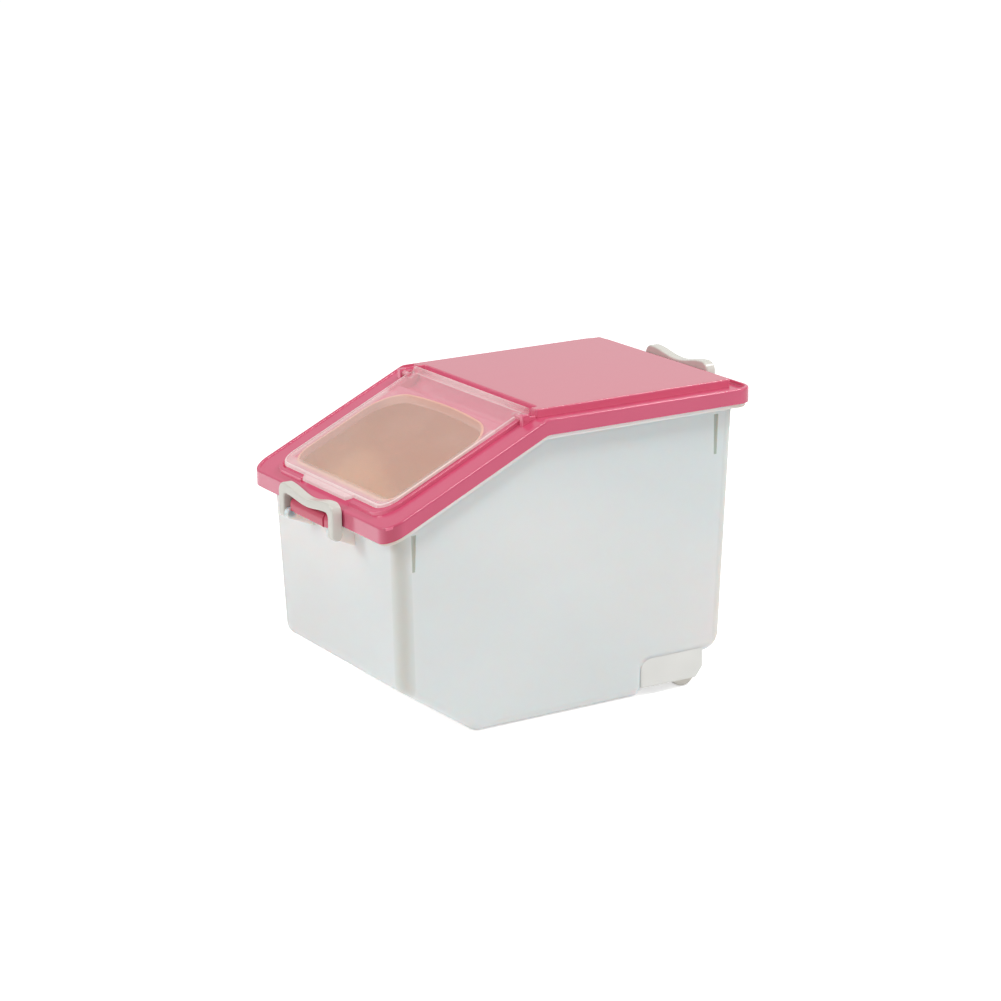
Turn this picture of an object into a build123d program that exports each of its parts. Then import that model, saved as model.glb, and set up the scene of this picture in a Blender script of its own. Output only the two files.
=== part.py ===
from build123d import *

import os
from math import cos, hypot, radians, sin, tan

# Rice storage box in millimetres: a tapered tub that stands on a flat foot and two
# rear wheels, closed by a lift-off lid with a sloping front, a clear hinged flap over
# the pouring window and a bail latch at each end.  +Z is up, +Y to the rear, and the
# origin is on the floor under the middle of the box.
#
# The lid's lower edge is level behind a crease and slopes down in front of it.
# A lift is a height measured straight up from that lower edge.

# Lid shell
lid_width = 240.0
lid_depth = 356.0
lid_corner = 16.0
lid_wall = 2.4
skirt_height = 13.0
skirt_wall = 2.4
slope_run = 150.0
slope_angle = 25.0
crease_round = 12.0
rim_bead = 3.2
rim_round = 1.9
front_ledge_drop = 1.2
rear_ledge_drop = 2.8
ledge_round = 0.9

edge_round = 0.8
fine_round = 0.5
least_corner = 1.0
cut_margin = 36.0

# Raised rear panel
panel_rise = 4.4
panel_rear_inset = 12.5
panel_trough_gap = 5.5
panel_cheek = 9.0
panel_cheek_reach = 7.4
panel_corner = 2.5
panel_round = 1.0

# Tub
shoulder_height = 248.0
tub_side_inset = 9.1
tub_end_inset = 14.2
tub_wall = 2.2
tub_corner = 10.0
tub_corner_margin = 0.4
draft = 2.0
chin_height = 49.0
chin_run = 72.5
chin_round = 13.0
foot_round = 10.6
heel_round = 17.0
step_height = 28.0
step_run = 100.0
step_round = 6.0
rim_drop = 4.0
flange_wall = 2.0
flange_clearance = 0.5
slot_radius = 2.8
slot_tip_radius = 2.15
slot_depth = 1.3
front_slot_inset = 16.0
front_slot_drop = 11.5
front_slot_length = 31.0
rear_slot_inset = 20.0
rear_slot_drop = 8.0
rear_slot_length = 35.0

# Seal between the lid and the tub's rim
seal_height = 2.6
seal_width = 5.0
seal_inset = 4.6
seat_gap = 0.2

# Plug rib that centres the lid in the tub
plug_wall = 2.0
plug_depth = 8.0
plug_clearance = 1.0

# Flap and the frame round it
flap_side_inset = 29.5
flap_front_inset = 13.0
flap_lift = 15.0
flap_wall = 1.9
flap_corner = 14.0
flap_bead = 1.6
flap_bead_rise = 0.6
flap_gap = 1.2
frame_width = 3.6
frame_lift = 15.2
tab_half_width = 41.0
tab_reach = 5.5
tab_bevel = 4.0
tab_side_gap = 2.0

# Pouring window and the seal on its lip
window_side_margin = 5.7
window_front_margin = 9.8
window_trough_gap = 0.4
window_front_corner = 17.0
window_rear_corner = 32.0
window_crown = 7.0
window_lip = 1.8
flap_seal_height = 1.3
flap_seal_gap = 0.2
flap_seal_lining = 0.7
flap_seal_fit = 0.1

# Flap hinge
hinge_setback = 10.5
hinge_lift = 16.3
ear_half_run = 3.4
ear_width = 5.0
ear_tail = 10.0
ear_tail_drop = 2.2
ear_tail_width = 3.0
pin_diameter = 2.8
pin_fit = 0.08
pin_reach = 8.0
pin_head_diameter = 4.4
pin_head = 1.2
pin_head_proud = 0.3
knuckle_radius = 2.4
knuckle_length = 6.0
knuckle_overhang = 6.3
knuckle_clearance = 0.6
roll_radius = 3.0
roll_setback = 2.5
roll_lift = 14.4
trough_clearance = 0.9
trough_wall = 2.0

# Bail latches
latch_half_width = 47.4
latch_leg = 8.6
latch_thick = 9.4
latch_gap = 0.7
latch_drop = 7.0
latch_bar_height = 14.4
latch_bar = 7.0
latch_dip = 4.9
latch_under_dip = 3.0
latch_shoulder = 9.0
latch_inner_shoulder = 4.0
latch_round = 1.4
latch_foot_flat = 0.2
trunnion_diameter = 5.0
trunnion_fit = 0.08
trunnion_end_gap = 0.2
lug_width = 5.0
lug_side_gap = 0.3
lug_end_wall = 0.8
lug_foot_low = 14.0

# Catch lips on the lid, which the latches hold down
catch_half_width = 33.0
catch_pad_half_width = 25.0
catch_reach = 7.4
catch_pad_step = 0.8
catch_drop = 4.6
catch_round = 6.0
catch_low_round = 1.5
catch_top_gap = 0.4

# Wheels, axles and brackets
wheel_diameter = 25.0
wheel_width = 15.0
wheel_round = 2.0
wheel_rear_inset = 57.0
hub_diameter = 9.0
hub_side_gap = 0.4
axle_diameter = 4.0
axle_fit = 0.08
axle_end_cover = 1.0
axle_head_diameter = 7.0
axle_head = 1.0
bracket_width = 25.0
bracket_wall = 3.0
bracket_heel_wrap = 4.0
bracket_reach_rear = 16.5
bracket_ground_gap = 7.5
bracket_chamfer_run = 7.0
bracket_chamfer_rise = 9.0
bracket_side_inset = 0.7
bracket_round = 1.5
bracket_fit = 0.1
wheel_clearance = 1.5
stud_diameter = 6.0
stud_length = 5.0
stud_spread = 9.0
stud_fit = 0.1
stud_boss_wall = 2.0

# Derived places
slope = tan(radians(slope_angle))
front_y = -lid_depth / 2
rear_y = lid_depth / 2
crease_y = front_y + slope_run
far = lid_width + lid_depth
rear_ledge_lift = skirt_height - rear_ledge_drop
front_ledge_lift = skirt_height - front_ledge_drop
lid_ceiling = rear_ledge_lift - lid_wall
rim_top = lid_ceiling - seal_height - seat_gap
draft_rise = tan(radians(draft))
flange_inset = skirt_wall + flange_clearance
flap_half_width = lid_width / 2 - flap_side_inset
trough_half_width = flap_half_width + flap_gap
panel_half_width = trough_half_width + panel_cheek
window_lip_lift = flap_lift - flap_seal_gap - flap_seal_height
window_lining = flap_seal_lining + flap_seal_fit
hinge_y = crease_y - hinge_setback
flap_front_y = front_y + flap_front_inset
tab_tip_y = flap_front_y - tab_reach
wheel_y = rear_y - wheel_rear_inset
wheel_z = wheel_diameter / 2


def edge_height(y):
    """Height of the lid's lower edge."""
    return shoulder_height - slope * max(0.0, crease_y - y)


hinge_z = edge_height(hinge_y) + hinge_lift
roll_y = crease_y - roll_setback
roll_z = shoulder_height + roll_lift
roll_reach = hypot(roll_y - hinge_y, roll_z - hinge_z) + roll_radius
trough_radius = roll_reach + trough_clearance
knuckle_end_x = flap_half_width + knuckle_overhang
ear_x = knuckle_end_x + flap_gap
panel_lift = skirt_height + panel_rise
panel_front_y = hinge_y + trough_radius + panel_trough_gap
panel_rear_y = rear_y - panel_rear_inset
latch_centre = lid_depth / 2 + latch_gap + latch_thick / 2
front_pivot = (-latch_centre, edge_height(front_y) - latch_drop)
rear_pivot = (latch_centre, shoulder_height - latch_drop)


def side_band(low, high, flat_low=None):
    """Side profile between two lifts; flat_low gives the lower line a lift of its
    own behind the crease."""
    flat_low = low if flat_low is None else flat_low
    front = front_y - cut_margin
    rear = rear_y + cut_margin
    low_crease_y = crease_y - (low - flat_low) / slope
    with BuildSketch(Plane.YZ.offset(-far)) as band:
        with BuildLine():
            FilletPolyline(
                (front, edge_height(front) + low),
                (low_crease_y, shoulder_height + flat_low),
                (rear, shoulder_height + flat_low),
                (rear, shoulder_height + high),
                (crease_y, shoulder_height + high),
                (front, edge_height(front) + high),
                radius=(0, crease_round, 0, 0, crease_round, 0),
                close=True,
            )
        make_face()
    return band.sketch


def banded(plan, low, high, flat_low=None):
    """Upright body of a plan outline, between two lifts."""
    band = side_band(low, high, flat_low)
    with BuildPart() as body:
        add(plan)
        extrude(amount=far)
        add(band)
        extrude(amount=2 * far, dir=(1, 0, 0), mode=Mode.INTERSECT)
    return body.part


def rim_outline(inset, width=None):
    """The lid's plan drawn in by an inset; with a width, a ring of that width."""
    with BuildSketch() as plan:
        corner = max(lid_corner - inset, least_corner)
        RectangleRounded(lid_width - 2 * inset, lid_depth - 2 * inset, corner)
        if width is not None:
            inner = inset + width
            corner = max(lid_corner - inner, least_corner)
            RectangleRounded(
                lid_width - 2 * inner, lid_depth - 2 * inner, corner, mode=Mode.SUBTRACT
            )
    return plan.sketch


def edges_at(shape, lift):
    """Edges of a shape that run along one lift."""
    return shape.edges().filter_by(
        lambda edge: abs(edge.center().Z - edge_height(edge.center().Y) - lift) < fine_round
    )


def front_wall_y(z):
    """Outer face of the tub's front wall at a height."""
    return front_y + tub_end_inset - draft_rise * (z - edge_height(front_y))


def rear_wall_y(z):
    """Outer face of the tub's rear wall at a height."""
    return rear_y - tub_end_inset + draft_rise * (z - shoulder_height)


def side_wall_x(z):
    """Outer face of the tub's side wall at a height."""
    return lid_width / 2 - tub_side_inset + draft_rise * (z - shoulder_height)


def tub_form(inset):
    """Drafted body of the tub up past its rim, drawn in by a wall or a clearance."""
    top = shoulder_height + 2 * skirt_height
    bottom = -2 * skirt_height
    foot_front_y = front_wall_y(chin_height) + chin_run
    step_y = rear_y - step_run
    with BuildSketch(Plane.YZ.offset(-far)) as side:
        with BuildLine():
            FilletPolyline(
                (front_wall_y(top), top),
                (front_wall_y(chin_height), chin_height),
                (foot_front_y, 0),
                (step_y, 0),
                (step_y, step_height),
                (rear_wall_y(step_height), step_height),
                (rear_wall_y(top), top),
                radius=(0, chin_round, foot_round, foot_round, step_round, heel_round, 0),
                close=True,
            )
        make_face()
        if inset:
            offset(amount=-inset, kind=Kind.INTERSECTION)
    with BuildSketch(Plane.XZ.offset(far)) as front:
        with BuildLine():
            Polyline(
                (-side_wall_x(bottom), bottom),
                (side_wall_x(bottom), bottom),
                (side_wall_x(top), top),
                (-side_wall_x(top), top),
                close=True,
            )
        make_face()
        if inset:
            offset(amount=-inset, kind=Kind.INTERSECTION)
    smallest_round = min(chin_round, foot_round, heel_round)
    corner = min(tub_corner, smallest_round - tub_corner_margin) - inset
    with BuildPart() as form:
        add(side.sketch)
        extrude(amount=2 * far, dir=(1, 0, 0))
        add(front.sketch)
        extrude(amount=2 * far, dir=(0, 1, 0), mode=Mode.INTERSECT)
        side_faces = form.faces().filter_by(lambda face: abs(face.normal_at().X) > 0.9)
        corners = side_faces.edges().filter_by(lambda edge: edge.center().Z < shoulder_height)
        fillet(corners, corner)
    return form.part


def latch_lugs(pivot, foot_y):
    """Pair of lugs on an end wall of the tub, with the latch's bores."""
    pivot_y, pivot_z = pivot
    lug_x = latch_half_width - latch_leg - lug_side_gap - lug_width
    with BuildPart() as lugs:
        with BuildSketch(Plane.YZ.offset(lug_x)):
            with Locations(pivot):
                Circle(latch_thick / 2)
            with BuildLine():
                Line((foot_y, pivot_z + latch_thick / 2), (foot_y, pivot_z - lug_foot_low))
            make_hull()
        extrude(amount=lug_width)
        side_faces = lugs.faces().filter_by(Axis.X)
        fillet(side_faces.edges(), edge_round)
        with BuildSketch(Plane.YZ.offset(lug_x + lug_end_wall)):
            with Locations(pivot):
                Circle((trunnion_diameter + trunnion_fit) / 2)
        extrude(amount=lug_width - lug_end_wall, mode=Mode.SUBTRACT)
        mirror(about=Plane.YZ)
    return lugs.part


def catch_lip(pivot, outward):
    """Lip on an end of the lid's skirt that a latch holds down."""
    pivot_y, pivot_z = pivot
    low = pivot_z + latch_drop - catch_drop
    high = pivot_z + latch_bar_height - catch_top_gap
    root_y = outward * (lid_depth / 2 - skirt_wall)
    with BuildPart() as lip:
        for half_width, reach in (
            (catch_half_width, catch_reach - catch_pad_step),
            (catch_pad_half_width, catch_reach),
        ):
            face_y = outward * (lid_depth / 2 + reach)
            with BuildSketch(Plane.YZ):
                with BuildLine():
                    FilletPolyline(
                        (root_y, low),
                        (face_y, low),
                        (face_y, high),
                        (root_y, high),
                        radius=(0, catch_low_round, catch_round, 0),
                        close=True,
                    )
                make_face()
            extrude(amount=half_width, both=True)
    return lip.part


def bail_latch(pivot):
    """Wavy bail: two legs and a cross bar, with a trunnion inside each leg."""
    pivot_y, pivot_z = pivot
    leg_x = latch_half_width - latch_leg
    foot = -latch_thick / 2
    hump_top = latch_bar_height + latch_bar + latch_dip
    under_top = latch_bar_height + latch_under_dip
    with BuildPart() as bail:
        plane = Plane(origin=(0, pivot_y, pivot_z), x_dir=(1, 0, 0), z_dir=(0, -1, 0))
        with BuildSketch(plane):
            with BuildLine():
                outer = Line((latch_half_width, foot), (latch_half_width, hump_top - latch_shoulder))
                hump = JernArc(outer @ 1, (0, 1), latch_shoulder, 90)
                Spline(
                    hump @ 1,
                    (0, latch_bar_height + latch_bar),
                    tangents=((-1, 0), (-1, 0)),
                )
                inner = Line((leg_x, foot), (leg_x, under_top - latch_inner_shoulder))
                shoulder = JernArc(inner @ 1, (0, 1), latch_inner_shoulder, 90)
                Spline(shoulder @ 1, (0, latch_bar_height), tangents=((-1, 0), (-1, 0)))
                Line(outer @ 0, inner @ 0)
                mirror(about=Plane.YZ)
            make_face()
        extrude(amount=latch_thick / 2, both=True)
        feet = bail.edges().filter_by(Axis.X).group_by(Axis.Z)[0]
        fillet(feet, (latch_thick - latch_foot_flat) / 2)
        along_x = bail.edges().filter_by(Axis.X)
        along_y = bail.edges().filter_by(Axis.Y)
        fillet(bail.edges() - along_x - along_y, latch_round)
        bore_depth = lug_width - lug_end_wall
        trunnion_length = latch_leg / 2 + lug_side_gap + bore_depth - trunnion_end_gap
        with BuildSketch(Plane.YZ.offset(latch_half_width - latch_leg / 2)):
            with Locations(pivot):
                Circle(trunnion_diameter / 2)
        extrude(amount=-trunnion_length)
        with BuildSketch(Plane.YZ.offset(-latch_half_width + latch_leg / 2)):
            with Locations(pivot):
                Circle(trunnion_diameter / 2)
        extrude(amount=trunnion_length)
    return bail.part


def flap_outline(grow):
    """Plan of the flap without its tab, grown by a gap or a width."""
    half_width = flap_half_width + grow
    front = flap_front_y - grow
    with BuildSketch() as plan:
        with BuildLine():
            FilletPolyline(
                (-half_width, roll_y),
                (-half_width, front),
                (half_width, front),
                (half_width, roll_y),
                radius=(0, flap_corner + grow, flap_corner + grow, 0),
                close=True,
            )
        make_face()
    return plan.sketch


def tab_outline(grow):
    """Plan of the finger tab, reaching back into the flap."""
    root_y = flap_front_y + flap_bead
    tip_y = tab_tip_y - grow
    half_width = tab_half_width + grow
    with BuildSketch() as plan:
        with BuildLine():
            Polyline(
                (-half_width, root_y),
                (-half_width, tip_y + tab_bevel),
                (-half_width + tab_bevel, tip_y),
                (half_width - tab_bevel, tip_y),
                (half_width, tip_y + tab_bevel),
                (half_width, root_y),
                close=True,
            )
        make_face()
    return plan.sketch


def window_outline(grow):
    """Plan of the pouring window, grown by a width."""
    half_width = flap_half_width - window_side_margin + grow
    front = flap_front_y + window_front_margin - grow
    rear = hinge_y - trough_radius - window_trough_gap - window_lip + grow
    side_rear = rear - window_crown
    with BuildSketch() as plan:
        with BuildLine():
            Polyline(
                (half_width, side_rear),
                (half_width, front),
                (-half_width, front),
                (-half_width, side_rear),
            )
            ThreePointArc((-half_width, side_rear), (0, rear), (half_width, side_rear))
        make_face()
        fillet(plan.vertices().group_by(Axis.Y)[0], window_front_corner + grow)
        fillet(plan.vertices().group_by(Axis.Y)[-1], window_rear_corner + grow)
    return plan.sketch


def window_ring(inner, outer, low, high):
    """Ring round the pouring window, from one width to another, between two lifts."""
    with BuildSketch() as plan:
        add(window_outline(outer))
        add(window_outline(inner), mode=Mode.SUBTRACT)
    return banded(plan.sketch, low, high)


def panel_hollow(low, high):
    """Hollow under the raised rear panel."""
    front = panel_front_y + lid_wall
    rear = panel_rear_y - lid_wall
    width = 2 * (panel_half_width - lid_wall)
    with BuildPart() as block:
        with BuildSketch(Plane.XY.offset(shoulder_height + low)):
            with Locations((0, (front + rear) / 2)):
                RectangleRounded(width, rear - front, least_corner)
        extrude(amount=high - low)
    return block.part


def raised_panel():
    """Rear panel, with a cheek at each side of the flap's rolled edge."""
    cheek_front_y = panel_front_y - panel_cheek_reach
    with BuildPart() as panel:
        with BuildSketch(Plane.XY.offset(shoulder_height + lid_ceiling)):
            with BuildLine():
                FilletPolyline(
                    (panel_half_width, panel_rear_y),
                    (-panel_half_width, panel_rear_y),
                    (-panel_half_width, cheek_front_y),
                    (-trough_half_width, cheek_front_y),
                    (-trough_half_width, panel_front_y),
                    (trough_half_width, panel_front_y),
                    (trough_half_width, cheek_front_y),
                    (panel_half_width, cheek_front_y),
                    radius=panel_corner,
                    close=True,
                )
            make_face()
        extrude(amount=panel_lift - lid_ceiling)
        fillet(panel.faces().sort_by(Axis.Z)[-1].edges(), panel_round)
    return panel.part


def hinge_tube(radius, half_width):
    """Cylinder about the flap's hinge axis."""
    with BuildPart() as tube:
        with BuildSketch(Plane.YZ):
            with Locations((hinge_y, hinge_z)):
                Circle(radius)
        extrude(amount=half_width, both=True)
    return tube.part


def lid_block():
    """Lid's outer shape, still solid: skirt, rolled rim, ledge and raised panel."""
    ledge_space = banded(
        rim_outline(rim_bead), front_ledge_lift, panel_lift + skirt_height, rear_ledge_lift
    )
    with BuildPart() as pocket:
        add(ledge_space)
        floor = pocket.edges().filter_by(
            lambda edge: edge.center().Z < edge_height(edge.center().Y) + skirt_height
        )
        fillet(floor - creases(pocket.edges()), ledge_round)
    with BuildPart() as block:
        add(banded(rim_outline(0), 0, skirt_height))
        rim = block.edges().filter_by(
            lambda edge: edge.center().Z > edge_height(edge.center().Y) + skirt_height - rim_round
        )
        fillet(rim - creases(block.edges()), rim_round)
        add(pocket.part, mode=Mode.SUBTRACT)
        add(raised_panel())
    return block.part


def creases(edges):
    """Edges that run across the lid, away from its two ends."""
    return edges.filter_by(Axis.X).filter_by(
        lambda edge: front_y / 2 < edge.center().Y < rear_y / 2
    )


def flap_frame():
    """Raised frame round the flap, open at the hinge and at the finger tab."""
    with BuildSketch() as plan:
        add(flap_outline(flap_gap + frame_width))
        add(flap_outline(flap_gap), mode=Mode.SUBTRACT)
        add(tab_outline(tab_side_gap), mode=Mode.SUBTRACT)
        with Locations((0, hinge_y)):
            Rectangle(
                lid_width,
                roll_y - hinge_y,
                align=(Align.CENTER, Align.MIN),
                mode=Mode.SUBTRACT,
            )
    with BuildPart() as frame:
        add(banded(plan.sketch, lid_ceiling, frame_lift))
        fillet(edges_at(frame, frame_lift), edge_round)
    return frame.part


def hinge_ear(side):
    """Square ear that holds one of the flap's pins, with a low tail towards the panel."""
    root_z = edge_height(hinge_y) + lid_ceiling
    top_z = hinge_z + ear_half_run
    with BuildPart() as ear:
        with BuildSketch(Plane.YZ.offset(side * ear_x)):
            with Locations((hinge_y, root_z)):
                Rectangle(
                    2 * ear_half_run, top_z - root_z, align=(Align.CENTER, Align.MIN)
                )
        extrude(amount=side * ear_width)
        fillet(ear.edges().filter_by(lambda edge: edge.center().Z > root_z), edge_round)
    with BuildPart() as tail:
        with BuildSketch(Plane.YZ.offset(side * (ear_x + (ear_width - ear_tail_width) / 2))):
            with Locations((hinge_y, root_z)):
                Rectangle(
                    ear_tail, top_z - ear_tail_drop - root_z, align=(Align.MIN, Align.MIN)
                )
        extrude(amount=side * ear_tail_width)
        fillet(tail.edges().filter_by(lambda edge: edge.center().Z > root_z), edge_round)
    return ear.part + tail.part


def hinge_space(side, radius, start, length):
    """Cylinder about the flap's hinge at one side, from start outward."""
    with BuildPart() as space:
        with BuildSketch(Plane.YZ.offset(side * start)):
            with Locations((hinge_y, hinge_z)):
                Circle(radius)
        extrude(amount=side * length)
    return space.part


def plug_rib():
    """Rib under the lid that drops just inside the tub's walls."""
    outer = tub_form(tub_wall + plug_clearance)
    inner = tub_form(tub_wall + plug_clearance + plug_wall)
    level = banded(rim_outline(skirt_wall), lid_ceiling - plug_depth, lid_ceiling + lid_wall / 2)
    with BuildPart() as rib:
        add(outer)
        add(inner, mode=Mode.SUBTRACT)
        add(level, mode=Mode.INTERSECT)
    return rib.part


# Lid
block = lid_block()
ledge_space = banded(rim_outline(0), front_ledge_lift, far, rear_ledge_lift)
hollow = banded(rim_outline(skirt_wall), -skirt_height, lid_ceiling)
with BuildPart() as trough:
    add(hinge_tube(trough_radius + trough_wall, trough_half_width + trough_wall))
    add(ledge_space, mode=Mode.SUBTRACT)
with BuildPart() as lid:
    add(block)
    add(flap_frame())
    add(window_ring(window_lining, window_lip, lid_ceiling, window_lip_lift))
    for side in (-1, 1):
        add(hinge_ear(side))
    add(hollow, mode=Mode.SUBTRACT)
    add(panel_hollow(0, panel_lift - lid_wall), mode=Mode.SUBTRACT)
    add(plug_rib())
    add(trough.part)
    add(hinge_tube(trough_radius, trough_half_width), mode=Mode.SUBTRACT)
    add(
        banded(window_outline(window_lining), -skirt_height, panel_lift),
        mode=Mode.SUBTRACT,
    )
    add(catch_lip(front_pivot, -1))
    add(catch_lip(rear_pivot, 1))
    for side in (-1, 1):
        bore = (pin_diameter + pin_fit) / 2
        head_bore = (pin_head_diameter + pin_fit) / 2
        head_depth = pin_head - pin_head_proud
        knuckle_space = knuckle_radius + knuckle_clearance
        space_length = ear_x - trough_half_width
        add(
            hinge_space(side, knuckle_space, trough_half_width, space_length),
            mode=Mode.SUBTRACT,
        )
        add(hinge_space(side, bore, ear_x, ear_width), mode=Mode.SUBTRACT)
        add(
            hinge_space(side, head_bore, ear_x + ear_width - head_depth, head_depth),
            mode=Mode.SUBTRACT,
        )

# Seals
with BuildPart() as lid_seal:
    add(banded(rim_outline(seal_inset, seal_width), lid_ceiling - seal_height, lid_ceiling))
flap_seal_lift = window_lip_lift + flap_seal_height
with BuildPart() as flap_seal:
    add(window_ring(0, window_lip, window_lip_lift, flap_seal_lift))
    fillet(edges_at(flap_seal, flap_seal_lift), fine_round)
    add(window_ring(0, flap_seal_lining, lid_ceiling, window_lip_lift))

# Flap
def flap_plate():
    """Sloping plate of the flap with its rim bead and finger tab."""
    top = flap_lift + flap_wall
    bead_top = top + flap_bead_rise
    with BuildSketch() as outline:
        add(flap_outline(0))
        add(tab_outline(0))
    with BuildPart() as plate:
        add(banded(outline.sketch, flap_lift, bead_top))
        fillet(edges_at(plate, bead_top), fine_round)
        add(banded(flap_outline(-flap_bead), top, bead_top + flap_wall), mode=Mode.SUBTRACT)
    return plate.part


with BuildPart() as flap:
    add(flap_plate())
    with BuildSketch(Plane.YZ):
        with Locations((roll_y, roll_z)):
            Circle(roll_radius)
    extrude(amount=flap_half_width, both=True)
    for side in (-1, 1):
        knuckle_x = flap_half_width - knuckle_length
        add(hinge_space(side, knuckle_radius, knuckle_x, knuckle_end_x - knuckle_x))
    for side in (-1, 1):
        bore = (pin_diameter + pin_fit) / 2
        depth = pin_reach + pin_fit
        add(
            hinge_space(side, bore, knuckle_end_x - depth, depth + flap_gap),
            mode=Mode.SUBTRACT,
        )


def flap_pin(side):
    """Headed pin through a hinge ear into the flap."""
    tip_x = knuckle_end_x - pin_reach
    end_x = ear_x + ear_width + pin_head_proud
    with BuildPart() as pin:
        add(hinge_space(side, pin_diameter / 2, tip_x, end_x - tip_x))
        add(hinge_space(side, pin_head_diameter / 2, end_x - pin_head, pin_head))
    return pin.part


with BuildPart() as flap_pin_left:
    add(flap_pin(-1))
with BuildPart() as flap_pin_right:
    add(flap_pin(1))

# Latches
with BuildPart() as front_latch:
    add(bail_latch(front_pivot))
with BuildPart() as rear_latch:
    add(bail_latch(rear_pivot))

# Tub
bracket_outer_x = side_wall_x(step_height) - bracket_side_inset
bracket_x = bracket_outer_x - bracket_width / 2
heel_y = rear_y - step_run
bracket_front_y = heel_y - bracket_heel_wrap
bracket_rear_y = wheel_y + bracket_reach_rear
wheel_space_front_y = wheel_y - wheel_z - wheel_clearance
stud_y = (heel_y + wheel_space_front_y) / 2
stud_radius = stud_diameter / 2
stud_places = [
    (side * (bracket_x + offset), stud_y)
    for side in (-1, 1)
    for offset in (-stud_spread / 2, stud_spread / 2)
]


def wall_slot(side, y, drop, length):
    """Slender tapered groove in a side wall of the tub, drop below the lid."""
    top_z = edge_height(y) - drop
    axis_x = side_wall_x(top_z) + slot_radius - slot_depth
    lean = radians(draft)
    plane = Plane(origin=(side * axis_x, y, top_z), z_dir=(-side * sin(lean), 0, -cos(lean)))
    with BuildPart() as slot:
        with Locations(plane):
            Cone(slot_radius, slot_tip_radius, length, align=(Align.CENTER, Align.CENTER, Align.MIN))
    return slot.part


def rim_lip():
    """Down-turned outer edge of the tub's rim."""
    with BuildPart() as lip:
        add(banded(rim_outline(flange_inset, flange_wall), -rim_drop, rim_top))
        fillet(edges_at(lip, -rim_drop), fine_round)
    return lip.part


def stud_bosses():
    """Bosses inside the tub for the studs of the wheel brackets."""
    with BuildPart() as bosses:
        with Locations(*[(x, y, step_height) for x, y in stud_places]):
            Cylinder(
                stud_radius + stud_boss_wall,
                stud_length + stud_boss_wall,
                align=(Align.CENTER, Align.CENTER, Align.MIN),
            )
        add(tub_form(tub_wall / 2), mode=Mode.INTERSECT)
    return bosses.part


tub_inside = tub_form(tub_wall)
bosses = stud_bosses()
front_slot_y = front_y + tub_end_inset + front_slot_inset
rear_slot_y = rear_y - tub_end_inset - rear_slot_inset
with BuildPart() as tub:
    add(tub_form(0))
    add(banded(rim_outline(-lid_corner), -far, rim_top), mode=Mode.INTERSECT)
    add(banded(rim_outline(flange_inset), rim_top - flange_wall, rim_top))
    add(rim_lip())
    add(latch_lugs(front_pivot, front_wall_y(front_pivot[1]) + tub_wall / 2))
    add(latch_lugs(rear_pivot, rear_wall_y(rear_pivot[1]) - tub_wall / 2))
    add(tub_inside, mode=Mode.SUBTRACT)
    for side in (-1, 1):
        add(
            wall_slot(side, front_slot_y, front_slot_drop, front_slot_length),
            mode=Mode.SUBTRACT,
        )
        add(wall_slot(side, rear_slot_y, rear_slot_drop, rear_slot_length), mode=Mode.SUBTRACT)
    add(bosses)
    with Locations(*[(x, y, step_height) for x, y in stud_places]):
        Cylinder(
            stud_radius + stud_fit / 2,
            stud_length + stud_fit,
            align=(Align.CENTER, Align.CENTER, Align.MIN),
            mode=Mode.SUBTRACT,
        )


def along_axle(side, radius, start, length):
    """Cylinder about a wheel's axle at one side, from start outward."""
    with BuildPart() as rod:
        with BuildSketch(Plane.YZ.offset(side * start)):
            with Locations((wheel_y, wheel_z)):
                Circle(radius)
        extrude(amount=side * length)
    return rod.part


def wheel_bracket(side, tub_space):
    """Housing over a rear wheel, open below, with two studs into the tub."""
    inner_x = bracket_outer_x - bracket_width
    space_width = bracket_width - 2 * bracket_wall
    top_z = step_height + heel_round
    with BuildPart() as bracket:
        with BuildSketch(Plane.YZ.offset(side * inner_x)):
            with BuildLine():
                Polyline(
                    (bracket_front_y, bracket_ground_gap),
                    (bracket_rear_y - bracket_chamfer_run, bracket_ground_gap),
                    (bracket_rear_y, bracket_ground_gap + bracket_chamfer_rise),
                    (bracket_rear_y, top_z),
                    (bracket_front_y, top_z),
                    close=True,
                )
            make_face()
        extrude(amount=side * bracket_width)
        fillet(bracket.edges(), bracket_round)
        add(tub_space, mode=Mode.SUBTRACT)
        with Locations((side * bracket_x, wheel_y, 0)):
            Box(
                space_width,
                wheel_diameter + 2 * wheel_clearance,
                wheel_diameter + wheel_clearance,
                align=(Align.CENTER, Align.CENTER, Align.MIN),
                mode=Mode.SUBTRACT,
            )
        core_front_y = heel_y + bracket_wall
        core_rear_y = wheel_space_front_y - bracket_wall
        with Locations((side * bracket_x, (core_front_y + core_rear_y) / 2, 0)):
            Box(
                space_width,
                core_rear_y - core_front_y,
                step_height - bracket_wall,
                align=(Align.CENTER, Align.CENTER, Align.MIN),
                mode=Mode.SUBTRACT,
            )
        own_places = [place for place in stud_places if place[0] * side > 0]
        with Locations(*[(x, y, step_height - bracket_wall / 2) for x, y in own_places]):
            Cylinder(
                stud_radius,
                stud_length + bracket_wall / 2,
                align=(Align.CENTER, Align.CENTER, Align.MIN),
            )
        bore = (axle_diameter + axle_fit) / 2
        add(
            along_axle(side, bore, inner_x, bracket_width - axle_end_cover),
            mode=Mode.SUBTRACT,
        )
    return bracket.part


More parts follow.
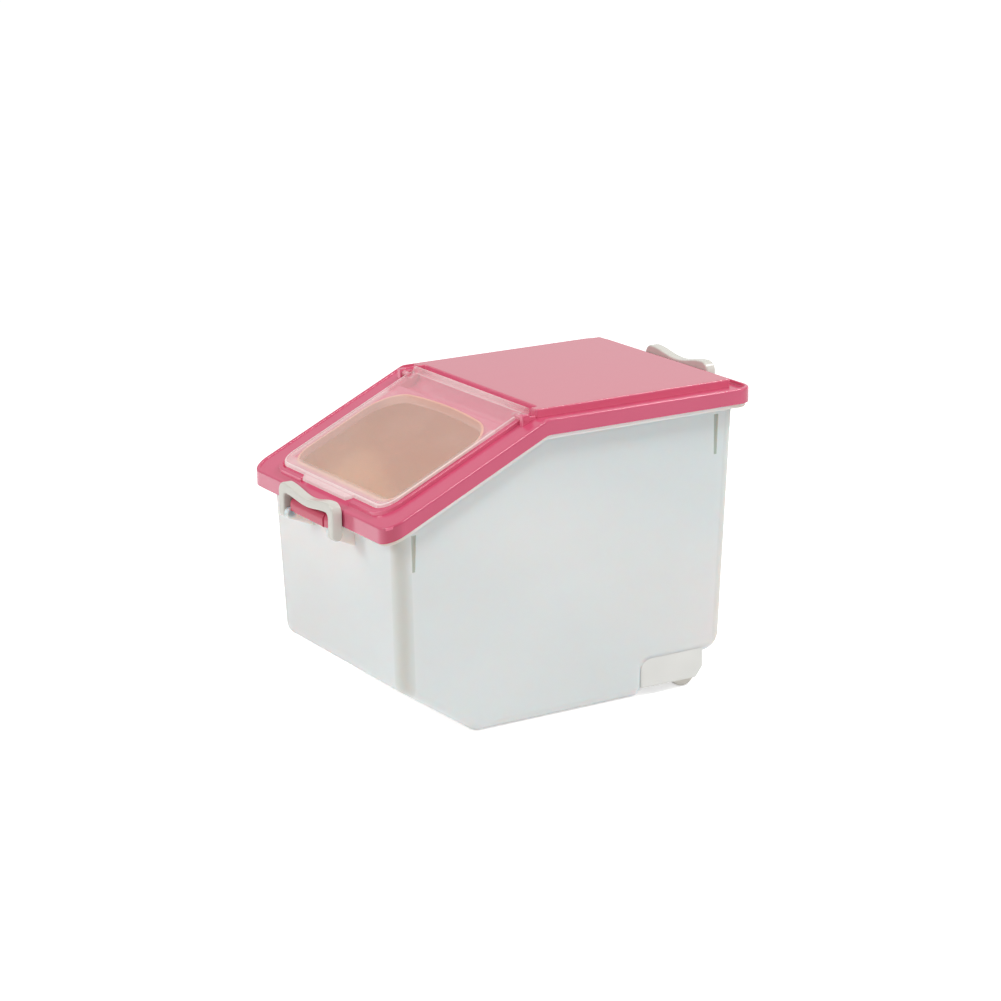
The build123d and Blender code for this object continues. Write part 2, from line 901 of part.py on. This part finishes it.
def wheel(side):
    """Plain wheel with a hub, bored for its axle."""
    hub_width = bracket_width - 2 * bracket_wall - 2 * hub_side_gap
    bore = (axle_diameter + axle_fit) / 2
    with BuildPart() as disc:
        add(along_axle(side, wheel_diameter / 2, bracket_x - wheel_width / 2, wheel_width))
        fillet(disc.edges().filter_by(GeomType.CIRCLE), wheel_round)
        add(along_axle(side, hub_diameter / 2, bracket_x - hub_width / 2, hub_width))
        add(along_axle(side, bore, bracket_x - hub_width / 2, hub_width), mode=Mode.SUBTRACT)
    return disc.part


def axle(side):
    """Headed pin through a bracket and its wheel."""
    inner_x = bracket_outer_x - bracket_width
    length = bracket_width - axle_end_cover - axle_fit
    with BuildPart() as pin:
        add(along_axle(side, axle_diameter / 2, inner_x, length))
        add(along_axle(side, axle_head_diameter / 2, inner_x - axle_head, axle_head))
    return pin.part


tub_space = tub_form(-bracket_fit)
with BuildPart() as wheel_bracket_left:
    add(wheel_bracket(-1, tub_space))
with BuildPart() as wheel_bracket_right:
    add(wheel_bracket(1, tub_space))
with BuildPart() as wheel_left:
    add(wheel(-1))
with BuildPart() as wheel_right:
    add(wheel(1))
with BuildPart() as axle_left:
    add(axle(-1))
with BuildPart() as axle_right:
    add(axle(1))

pieces = {
    "tub": tub,
    "lid": lid,
    "lid_seal": lid_seal,
    "flap": flap,
    "flap_seal": flap_seal,
    "flap_pin_left": flap_pin_left,
    "flap_pin_right": flap_pin_right,
    "front_latch": front_latch,
    "rear_latch": rear_latch,
    "wheel_bracket_left": wheel_bracket_left,
    "wheel_bracket_right": wheel_bracket_right,
    "wheel_left": wheel_left,
    "wheel_right": wheel_right,
    "axle_left": axle_left,
    "axle_right": axle_right,
}
os.makedirs("parts", exist_ok=True)
for name, piece in pieces.items():
    piece.part.label = name
    export_step(piece.part, f"parts/{name}.step")
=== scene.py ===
from math import cos, pi, radians, sin

import bpy
from mathutils import Matrix, Vector


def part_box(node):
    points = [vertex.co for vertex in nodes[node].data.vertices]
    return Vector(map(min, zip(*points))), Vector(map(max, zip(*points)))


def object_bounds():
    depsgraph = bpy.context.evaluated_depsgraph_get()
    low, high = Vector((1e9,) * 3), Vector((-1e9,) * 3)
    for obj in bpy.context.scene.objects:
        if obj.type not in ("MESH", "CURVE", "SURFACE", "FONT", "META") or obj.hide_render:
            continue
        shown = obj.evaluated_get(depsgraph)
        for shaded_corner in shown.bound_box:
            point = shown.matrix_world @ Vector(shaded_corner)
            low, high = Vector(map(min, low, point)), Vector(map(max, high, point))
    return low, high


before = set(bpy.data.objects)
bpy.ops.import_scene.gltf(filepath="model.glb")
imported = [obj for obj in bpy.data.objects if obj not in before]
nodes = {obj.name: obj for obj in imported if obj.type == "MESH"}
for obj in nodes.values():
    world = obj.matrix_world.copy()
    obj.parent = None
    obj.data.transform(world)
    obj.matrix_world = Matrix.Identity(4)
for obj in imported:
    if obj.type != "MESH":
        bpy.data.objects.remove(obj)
cad_low, cad_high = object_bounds()
scene = bpy.context.scene

# The photograph's camera: angles in degrees, focal length in pixels of a square image,
# place in metres from the box's origin, sensor in millimetres
IMAGE_SIDE = 1001
CAMERA_AZIMUTH = 58.923
CAMERA_ELEVATION = 15.582
CAMERA_ROLL = -0.734
CAMERA_FOCAL = 2891.18
CAMERA_PLACE = (2.0298, -1.22485, 0.82264)
CAMERA_SENSOR = 36.0
CAMERA_REACH = 100.0

# Nearly all values of a noise lie between these two
NOISE_LOW = 0.3
NOISE_HIGH = 0.7
UNSTRETCHED = (1.0, 1.0, 1.0)
DRAWN = (0.1, 1.0, 1.0)

# All sizes below are in metres. The lid's lower edge is level at the shoulder behind the
# crease and slopes down in front of it, and a lift is a height above that edge.
lid_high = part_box("lid")[1]
CATCH_REACH = 0.0074
LID_TOP = lid_high.z
LID_HALF_WIDTH = lid_high.x
LID_HALF_DEPTH = lid_high.y - CATCH_REACH
SHOULDER = LID_TOP - 0.0174
CREASE = 0.15 - LID_HALF_DEPTH
SLOPE = 0.4663

# Marks on the lid, each just past the edge of the area that it tells apart
PANEL_LOW = LID_TOP - 0.0008
PANEL_FRONT = CREASE - 0.0002
LEDGE_LIFT = 0.0105
RIM_INNER_X = LID_HALF_WIDTH - 0.0028
RIM_INNER_Y = LID_HALF_DEPTH - 0.0027
CATCH_ROOT = LID_HALF_DEPTH + 0.0006

# The tub's outer walls at the shoulder, their thickness, draft and corners
TUB_HALF_WIDTH = LID_HALF_WIDTH - 0.0091
TUB_HALF_LENGTH = LID_HALF_DEPTH - 0.0142
TUB_WALL = 0.0022
TUB_DRAFT = 0.0349
TUB_MIDDLE = (0.0, 0.0, 0.13)
CORNER_BAND = 0.011

# The grooves in the tub's side walls
GROOVE_LINES = (0.016 - TUB_HALF_LENGTH, TUB_HALF_LENGTH - 0.02)
GROOVE_HALF_WIDTH = 0.0032
GROOVE_SKIN = 0.00012
GROOVE_DEPTH = 0.0016
GROOVE_LOW = 0.14

# The flap's edges, and the lines where it meets its hinge, its rolled edge and its tab
FLAP_HALF_WIDTH = LID_HALF_WIDTH - 0.0295
FLAP_FRONT = 0.013 - LID_HALF_DEPTH
FLAP_MARGIN = 0.0005
BEAD_LIFT = 0.01705
HINGE_FRONT = CREASE - 0.0135
ROLL_FRONT = CREASE - 0.0057
ROLL_MIDDLE = 0.04
ROLL_END = 0.085

# The pouring window under the flap
WINDOW_HALF_WIDTH = FLAP_HALF_WIDTH - 0.0059
WINDOW_FRONT = FLAP_FRONT + 0.0096
WINDOW_REAR = CREASE - 0.032

# Brightness of the world, where 1 is white: as light on the object, as glossy and clear
# faces show it, and as the camera sees it
WORLD_LIGHT = 0.44
WORLD_IN_GLOSS = 0.8
WORLD_SEEN = 1.0
WHITE = (1.0, 1.0, 1.0, 1.0)

# The floor, and the brightness added to it where it is seen, straight or in gloss
FLOOR_HALF_SIDE = 30.0
FLOOR_LIFT = 0.62
FLOOR_DARK = (0.88, 0.88, 0.88, 1.0)
FLOOR_LIGHT = (0.9, 0.9, 0.9, 1.0)


def colour(red, green, blue):
    """A colour given as it is seen on a screen, from 0 to 255, for a shader."""

    def linear(value):
        share = value / 255
        return share / 12.92 if share <= 0.04045 else ((share + 0.055) / 1.055) ** 2.4

    return (linear(red), linear(green), linear(blue), 1.0)


def towards(azimuth, elevation):
    """The direction from the box to a place seen at these angles, in degrees."""
    a = radians(azimuth)
    e = radians(elevation)
    return Vector((sin(a) * cos(e), -cos(a) * cos(e), sin(e)))


class Nodes:
    """A node tree, with short calls that add to it. A value is a number or a socket."""

    def __init__(self, tree):
        self.tree = tree
        self.tree.nodes.clear()

    def add(self, kind, **settings):
        node = self.tree.nodes.new(kind)
        for name, value in settings.items():
            setattr(node, name, value)
        return node

    def link(self, source, target):
        self.tree.links.new(source, target)

    def math(self, operation, *values):
        node = self.add("ShaderNodeMath", operation=operation)
        for value, socket in zip(values, node.inputs):
            if isinstance(value, (int, float)):
                socket.default_value = value
            else:
                self.link(value, socket)
        return node.outputs["Value"]

    def chain(self, operation, values):
        """Two or more values joined by one operation, from the first to the last."""
        result = values[0]
        for value in values[1:]:
            result = self.math(operation, result, value)
        return result

    def times(self, *values):
        return self.chain("MULTIPLY", values)

    def most(self, *values):
        return self.chain("MAXIMUM", values)

    def plus(self, first, second):
        return self.math("ADD", first, second)

    def minus(self, first, second):
        return self.math("SUBTRACT", first, second)

    def unsigned(self, value):
        return self.math("ABSOLUTE", value)

    def above(self, value, limit):
        """1 where a value is over a limit, and 0 elsewhere."""
        return self.math("GREATER_THAN", value, limit)

    def below(self, value, limit):
        """1 where a value is under a limit, and 0 elsewhere."""
        return self.math("LESS_THAN", value, limit)

    def remap(self, value, low, high, to_low, to_high):
        """A value moved from one range to another, and held inside it."""
        node = self.add("ShaderNodeMapRange")
        node.inputs["From Min"].default_value = low
        node.inputs["From Max"].default_value = high
        node.inputs["To Min"].default_value = to_low
        node.inputs["To Max"].default_value = to_high
        self.link(value, node.inputs["Value"])
        return node.outputs["Result"]

    def sight(self):
        """1 on the camera's own rays, and 1 on those and the rays in gloss and through clear parts."""
        path = self.add("ShaderNodeLightPath").outputs
        camera_ray = path["Is Camera Ray"]
        return camera_ray, self.most(camera_ray, path["Is Glossy Ray"], path["Is Transmission Ray"])


class Finish(Nodes):
    """A material with one Principled shader, whose colour, roughness and bump come from noise."""

    def __init__(self, name):
        self.material = bpy.data.materials.new(name)
        self.material.use_nodes = True
        super().__init__(self.material.node_tree)
        self.output = self.add("ShaderNodeOutputMaterial")
        self.shader = self.add("ShaderNodeBsdfPrincipled")
        self.link(self.shader.outputs[0], self.output.inputs["Surface"])
        coordinates = self.add("ShaderNodeTexCoord")
        self.place = coordinates.outputs["Object"]
        self.normal = coordinates.outputs["Normal"]

    def parts(self, vector):
        """The X, Y and Z of a vector."""
        node = self.add("ShaderNodeSeparateXYZ")
        self.link(vector, node.inputs[0])
        return node.outputs

    def noise(self, scale, detail=2.0, stretch=UNSTRETCHED):
        """Noise of a scale in cycles a metre."""
        mapping = self.add("ShaderNodeMapping")
        mapping.inputs["Scale"].default_value = stretch
        self.link(self.place, mapping.inputs["Vector"])
        noise = self.add("ShaderNodeTexNoise")
        noise.inputs["Scale"].default_value = scale
        noise.inputs["Detail"].default_value = detail
        self.link(mapping.outputs["Vector"], noise.inputs["Vector"])
        return noise.outputs["Fac"]

    def varied(self, scale, low, high, stretch=UNSTRETCHED):
        """A number that wanders between two others over the surface."""
        return self.remap(self.noise(scale, stretch=stretch), NOISE_LOW, NOISE_HIGH, low, high)

    def mottled(self, scale, dark, light, detail=2.0, stretch=UNSTRETCHED):
        """A colour that wanders between two others over the surface."""
        ramp = self.add("ShaderNodeValToRGB")
        first, last = ramp.color_ramp.elements
        first.position = NOISE_LOW
        first.color = dark
        last.position = NOISE_HIGH
        last.color = light
        self.link(self.noise(scale, detail, stretch), ramp.inputs["Fac"])
        return ramp.outputs["Color"]

    def mix(self, share, first, second):
        """Two colours mixed by a value."""
        node = self.add("ShaderNodeMix", data_type="RGBA")
        self.link(share, node.inputs["Factor"])
        for value, socket in ((first, node.inputs[6]), (second, node.inputs[7])):
            if isinstance(value, tuple):
                socket.default_value = value
            else:
                self.link(value, socket)
        return node.outputs[2]

    def set(self, **values):
        """Numbers that are the same all over the surface, set on the shader itself."""
        for name, value in values.items():
            self.shader.inputs[name.replace("_", " ")].default_value = value

    def base(self, socket):
        self.link(socket, self.shader.inputs["Base Color"])

    def rough(self, socket):
        self.link(socket, self.shader.inputs["Roughness"])

    def grain(self, scale, strength, depth):
        """A fine grain of a depth in metres, as bump."""
        node = self.add("ShaderNodeBump")
        node.inputs["Strength"].default_value = strength
        node.inputs["Distance"].default_value = depth
        self.link(self.noise(scale), node.inputs["Height"])
        self.link(node.outputs["Normal"], self.shader.inputs["Normal"])

    def lift(self, place):
        """Height above the lid's lower edge."""
        before_crease = self.most(self.minus(CREASE, place["Y"]), 0.0)
        edge = self.minus(SHOULDER, self.times(before_crease, SLOPE))
        return self.minus(place["Z"], edge)

    def paint(self, *names):
        """Gives this material to CAD nodes."""
        for name in names:
            mesh = nodes[name].data
            mesh.materials.clear()
            mesh.materials.append(self.material)


def pink_shell():
    """Satin pink with a glossy coat where it faces up or forward.

    The raised panel is paler, as painted sheen, and a little glossier; the walls inside the rim
    are lighter, as painted light; the rounded corners and the catch lips are darker, as painted shade.
    """
    steep = 0.6
    pink = Finish("pink_shell")
    place = pink.parts(pink.place)
    normal = pink.parts(pink.normal)
    panel = pink.times(pink.above(place["Z"], PANEL_LOW), pink.above(place["Y"], PANEL_FRONT))
    catch = pink.above(pink.unsigned(place["Y"]), CATCH_ROOT)
    inner_wall = pink.times(
        pink.above(pink.lift(place), LEDGE_LIFT),
        pink.below(pink.unsigned(place["X"]), RIM_INNER_X),
        pink.below(pink.unsigned(place["Y"]), RIM_INNER_Y),
        pink.below(normal["Z"], steep),
    )
    turned = pink.times(pink.unsigned(normal["X"]), pink.unsigned(normal["Y"]))
    shaded_corner = pink.remap(turned, low=0.1, high=0.5, to_low=0.0, to_high=1.0)

    shell = pink.mottled(14, colour(198, 74, 107), colour(204, 80, 113), detail=3.0)
    # Painted sheen: the raised panel's top is paler
    shell = pink.mix(panel, shell, colour(200, 95, 114))
    # Painted shade: the rounded corners are darker
    shell = pink.mix(shaded_corner, shell, colour(184, 62, 92))
    # Painted shade: the catch lips under the latch bars are darker
    shell = pink.mix(catch, shell, colour(193, 58, 88))
    # Painted light: the walls inside the rim are lighter, lifting the shade that falls there
    pink.base(pink.mix(inner_wall, shell, colour(223, 106, 136)))

    rough = pink.add("ShaderNodeMix")
    pink.link(panel, rough.inputs["Factor"])
    pink.link(pink.varied(60, 0.19, 0.23), rough.inputs[2])
    pink.link(pink.varied(60, 0.15, 0.18), rough.inputs[3])
    pink.rough(rough.outputs[0])
    pink.grain(260, strength=0.1, depth=0.0001)

    coat_above = pink.remap(normal["Z"], low=0.5, high=1.0, to_low=0.0, to_high=0.2)
    coat_ahead = pink.remap(normal["Y"], low=-0.8, high=-1.0, to_low=0.0, to_high=0.6)
    coat_ahead = pink.times(coat_ahead, pink.minus(1.0, catch))
    pink.link(pink.most(coat_above, coat_ahead), pink.shader.inputs["Coat Weight"])
    pink.set(IOR=1.5, Coat_Roughness=0.15, Coat_IOR=1.5)
    pink.paint("lid", "flap_pin_left", "flap_pin_right")


def milky_tub():
    """Off-white plastic with light spreading under its surface, and a warm tan inside, as painted
    bounce light.

    Its upright corners and the grooves in its side walls are darker, as painted shade.
    """
    milk = Finish("milky_tub")
    place = milk.parts(milk.place)
    across = milk.unsigned(place["X"])
    along = milk.unsigned(place["Y"])
    taper = milk.times(milk.minus(SHOULDER, place["Z"]), TUB_DRAFT)

    # The inside faces the middle and lies within the middle surface of the walls
    to_middle = milk.add("ShaderNodeVectorMath", operation="SUBTRACT")
    to_middle.inputs[0].default_value = TUB_MIDDLE
    milk.link(milk.place, to_middle.inputs[1])
    facing = milk.add("ShaderNodeVectorMath", operation="DOT_PRODUCT")
    milk.link(to_middle.outputs["Vector"], facing.inputs[0])
    milk.link(milk.normal, facing.inputs[1])
    inside = milk.times(
        milk.above(facing.outputs["Value"], 0.0),
        milk.below(milk.plus(across, taper), TUB_HALF_WIDTH - TUB_WALL / 2),
        milk.below(milk.plus(along, taper), TUB_HALF_LENGTH - TUB_WALL / 2),
    )

    # How far a point lies inside the side wall's face and the end wall's face
    side_depth = milk.minus(milk.minus(TUB_HALF_WIDTH, taper), across)
    end_depth = milk.minus(milk.minus(TUB_HALF_LENGTH, taper), along)
    near_line = milk.most(*(
        milk.below(milk.unsigned(milk.minus(place["Y"], line)), GROOVE_HALF_WIDTH)
        for line in GROOVE_LINES
    ))
    shaded_groove = milk.times(
        milk.above(side_depth, GROOVE_SKIN),
        milk.below(side_depth, GROOVE_DEPTH),
        near_line,
        milk.above(place["Z"], GROOVE_LOW),
    )
    near_side = milk.remap(side_depth, low=0.0, high=CORNER_BAND, to_low=1.0, to_high=0.0)
    near_end = milk.remap(end_depth, low=0.0, high=CORNER_BAND, to_low=1.0, to_high=0.0)
    shaded_corner = milk.math("SQRT", milk.times(near_side, near_end))

    shade = milk.mottled(7, colour(233, 228, 225), colour(237, 232, 229), 3.0, (1.0, 1.0, 1.6))
    # Painted shade: the upright corners are darker
    shade = milk.mix(shaded_corner, shade, colour(206, 206, 199))
    # Painted shade: the grooves are darker
    shade = milk.mix(shaded_groove, shade, colour(192, 196, 184))
    # Painted bounce light: the inside is a warm tan
    warm = milk.mottled(9, colour(251, 186, 132), colour(254, 194, 142))
    milk.base(milk.mix(inside, shade, warm))
    milk.rough(milk.varied(45, 0.38, 0.46))
    milk.grain(220, strength=0.08, depth=0.0001)
    milk.set(IOR=1.49, Subsurface_Weight=1.0)
    milk.set(Subsurface_Scale=0.006, Subsurface_Radius=(1.7, 0.95, 0.78))
    milk.paint("tub")


def clear_flap():
    """Clear plastic with a light haze, stronger at the thicker edges, partly as painted highlight, and
    round the window.
    """
    bead_haze_and_glint = 0.3
    rear_clearing = 0.04
    roll_haze = 0.22
    roll_end_haze = 0.05
    surround_haze = 0.12
    tab_clearing = 0.17
    facing_up = 0.5
    grazing_haze = 0.5
    clear = Finish("clear_flap")
    clear.base(clear.mottled(12, colour(238, 226, 222), colour(243, 232, 228)))
    clear.rough(clear.varied(50, 0.26, 0.34))
    clear.grain(700, strength=0.06, depth=0.0002)
    place = clear.parts(clear.place)
    across = clear.unsigned(place["X"])
    behind = clear.above(place["Y"], WINDOW_REAR)

    haze = clear.varied(16, 0.17, 0.2)
    # More haze at the edges: thicker plastic there, and a painted highlight along them
    thick_and_glinting = clear.most(
        clear.above(clear.lift(place), BEAD_LIFT),
        clear.above(across, FLAP_HALF_WIDTH - FLAP_MARGIN),
        clear.below(place["Y"], FLAP_FRONT + FLAP_MARGIN),
    )
    thick_and_glinting = clear.times(thick_and_glinting, clear.below(place["Y"], HINGE_FRONT))
    haze = clear.plus(haze, clear.times(thick_and_glinting, bead_haze_and_glint))
    haze = clear.minus(haze, clear.times(behind, rear_clearing))

    rolled = clear.above(place["Y"], ROLL_FRONT)
    fading = clear.remap(across, ROLL_MIDDLE, ROLL_END, roll_haze, roll_end_haze)
    haze = clear.plus(haze, clear.times(rolled, fading))

    beside = clear.most(clear.above(across, WINDOW_HALF_WIDTH), clear.below(place["Y"], WINDOW_FRONT))
    beside = clear.times(beside, clear.minus(1.0, behind))
    haze = clear.plus(haze, clear.times(beside, surround_haze))

    tab_front = clear.below(place["Y"], FLAP_FRONT - FLAP_MARGIN)
    tab = clear.times(tab_front, clear.above(clear.parts(clear.normal)["Z"], facing_up))
    haze = clear.minus(haze, clear.times(tab, tab_clearing))

    # It is hazier at a grazing angle, and throws no shadow
    edge = clear.add("ShaderNodeLayerWeight")
    edge.inputs["Blend"].default_value = 0.35
    grazing = clear.remap(edge.outputs["Facing"], low=0.45, high=1.0, to_low=0.0, to_high=grazing_haze)
    haze = clear.plus(haze, grazing)
    path = clear.add("ShaderNodeLightPath")
    passing = clear.most(path.outputs["Is Shadow Ray"], path.outputs["Is Diffuse Ray"])
    clear.link(clear.times(haze, clear.minus(1.0, passing)), clear.shader.inputs["Alpha"])
    clear.set(IOR=1.5)
    clear.paint("flap")


pink_shell()
milky_tub()
clear_flap()

# Brackets: opaque off-white plastic
bracket = Finish("bracket_plastic")
bracket.base(bracket.mottled(30, colour(219, 219, 215), colour(225, 225, 221)))
bracket.rough(bracket.varied(80, 0.4, 0.5))
bracket.grain(900, strength=0.1, depth=0.0002)
bracket.paint("wheel_bracket_left", "wheel_bracket_right")

# Latches: glossy warm white
latch = Finish("latch_plastic")
latch.base(latch.mottled(40, colour(201, 199, 190), colour(206, 204, 196)))
latch.rough(latch.varied(90, 0.2, 0.28))
latch.grain(500, strength=0.08, depth=0.0002)
latch.paint("front_latch", "rear_latch")

# Seal between the lid and the rim: soft pink silicone
seal = Finish("seal_silicone")
seal.base(seal.mottled(50, colour(216, 126, 142), colour(222, 134, 150)))
seal.rough(seal.varied(120, 0.5, 0.6))
seal.grain(1200, strength=0.1, depth=0.0001)
seal.paint("lid_seal")

# Seal of the window: soft silicone, tan as painted bounce light like the tub's inside
lining = Finish("window_silicone")
lining.base(lining.mottled(50, colour(212, 138, 108), colour(218, 146, 116)))
lining.rough(lining.varied(120, 0.4, 0.5))
lining.grain(1200, strength=0.1, depth=0.0001)
lining.paint("flap_seal")

# Wheels: satin off-white plastic
wheel = Finish("wheel_plastic")
wheel.base(wheel.mottled(70, colour(214, 210, 201), colour(224, 220, 212), detail=3.0))
wheel.rough(wheel.varied(150, 0.45, 0.55))
wheel.grain(1000, strength=0.15, depth=0.0002)
wheel.paint("wheel_left", "wheel_right")

# Axles: steel, drawn along X
steel = Finish("axle_steel")
steel.base(steel.mottled(400, colour(190, 190, 192), colour(206, 206, 208), stretch=DRAWN))
steel.rough(steel.varied(600, 0.25, 0.38, stretch=DRAWN))
steel.set(Metallic=1.0)
steel.paint("axle_left", "axle_right")

# Floor: matt white, lifted to plain white where it is seen
corner_signs = ((-1, -1), (1, -1), (1, 1), (-1, 1))
floor_mesh = bpy.data.meshes.new("floor")
floor_mesh.from_pydata(
    [(x * FLOOR_HALF_SIDE, y * FLOOR_HALF_SIDE, 0.0) for x, y in corner_signs], [], [(0, 1, 2, 3)])
floor = bpy.data.objects.new("floor", floor_mesh)
scene.collection.objects.link(floor)
ground = Finish("floor_white")
ground.base(ground.mottled(3, FLOOR_DARK, FLOOR_LIGHT))
ground.set(Roughness=0.9, Specular_IOR_Level=0.0)
glow = ground.add("ShaderNodeEmission")
floor_seen = ground.sight()[1]
ground.link(ground.times(floor_seen, FLOOR_LIFT), glow.inputs["Strength"])
both = ground.add("ShaderNodeAddShader")
ground.link(ground.shader.outputs[0], both.inputs[0])
ground.link(glow.outputs[0], both.inputs[1])
ground.link(both.outputs[0], ground.output.inputs["Surface"])
floor_mesh.materials.append(ground.material)

# World: even pale light, and white where it is seen
world = bpy.data.worlds.new("studio")
scene.world = world
world.use_nodes = True
sky = Nodes(world.node_tree)
camera_ray, sky_seen = sky.sight()
lighting = sky.add("ShaderNodeBackground")
lighting.inputs["Color"].default_value = WHITE
lighting.inputs["Strength"].default_value = WORLD_LIGHT
backdrop = sky.add("ShaderNodeBackground")
backdrop.inputs["Color"].default_value = WHITE
seen_more = sky.times(camera_ray, WORLD_SEEN - WORLD_IN_GLOSS)
sky.link(sky.plus(seen_more, WORLD_IN_GLOSS), backdrop.inputs["Strength"])
either = sky.add("ShaderNodeMixShader")
sky.link(sky_seen, either.inputs[0])
sky.link(lighting.outputs[0], either.inputs[1])
sky.link(backdrop.outputs[0], either.inputs[2])
sky.link(either.outputs[0], sky.add("ShaderNodeOutputWorld").inputs[0])


def soft_lamp(name, azimuth, elevation, distance, side, share):
    """A square lamp aimed at the box. share is how bright it makes a white face turned to it."""
    data = bpy.data.lights.new(name, "AREA")
    data.shape = "SQUARE"
    data.size = side
    data.energy = share * pi * pi * distance * distance
    lamp = bpy.data.objects.new(name, data)
    scene.collection.objects.link(lamp)
    back = towards(azimuth, elevation)
    lamp.location = (cad_low + cad_high) / 2 + back * distance
    lamp.rotation_mode = "QUATERNION"
    lamp.rotation_quaternion = back.to_track_quat("Z", "Y")


soft_lamp("key", azimuth=-17, elevation=30, distance=2.6, side=0.7, share=0.33)
soft_lamp("side_fill", azimuth=135, elevation=20, distance=3.0, side=1.6, share=0.09)
soft_lamp("overhead_side", azimuth=80, elevation=63, distance=2.2, side=0.4, share=0.32)
soft_lamp("overhead_rear", azimuth=155, elevation=52, distance=2.2, side=0.4, share=0.32)

# Camera at the photograph's viewing angle
back = towards(CAMERA_AZIMUTH, CAMERA_ELEVATION)
right = towards(CAMERA_AZIMUTH + 90, 0)
up = back.cross(right)
roll = radians(CAMERA_ROLL)
image_right = cos(roll) * right + sin(roll) * up
image_up = cos(roll) * up - sin(roll) * right
camera_data = bpy.data.cameras.new("camera")
camera_data.sensor_width = CAMERA_SENSOR
camera_data.lens = CAMERA_FOCAL * CAMERA_SENSOR / IMAGE_SIDE
camera_data.clip_end = CAMERA_REACH
camera = bpy.data.objects.new("camera", camera_data)
scene.collection.objects.link(camera)
pose = Matrix((image_right, image_up, back)).transposed().to_4x4()
pose.translation = Vector(CAMERA_PLACE)
camera.matrix_world = pose
scene.camera = camera

scene.view_settings.view_transform = "Standard"
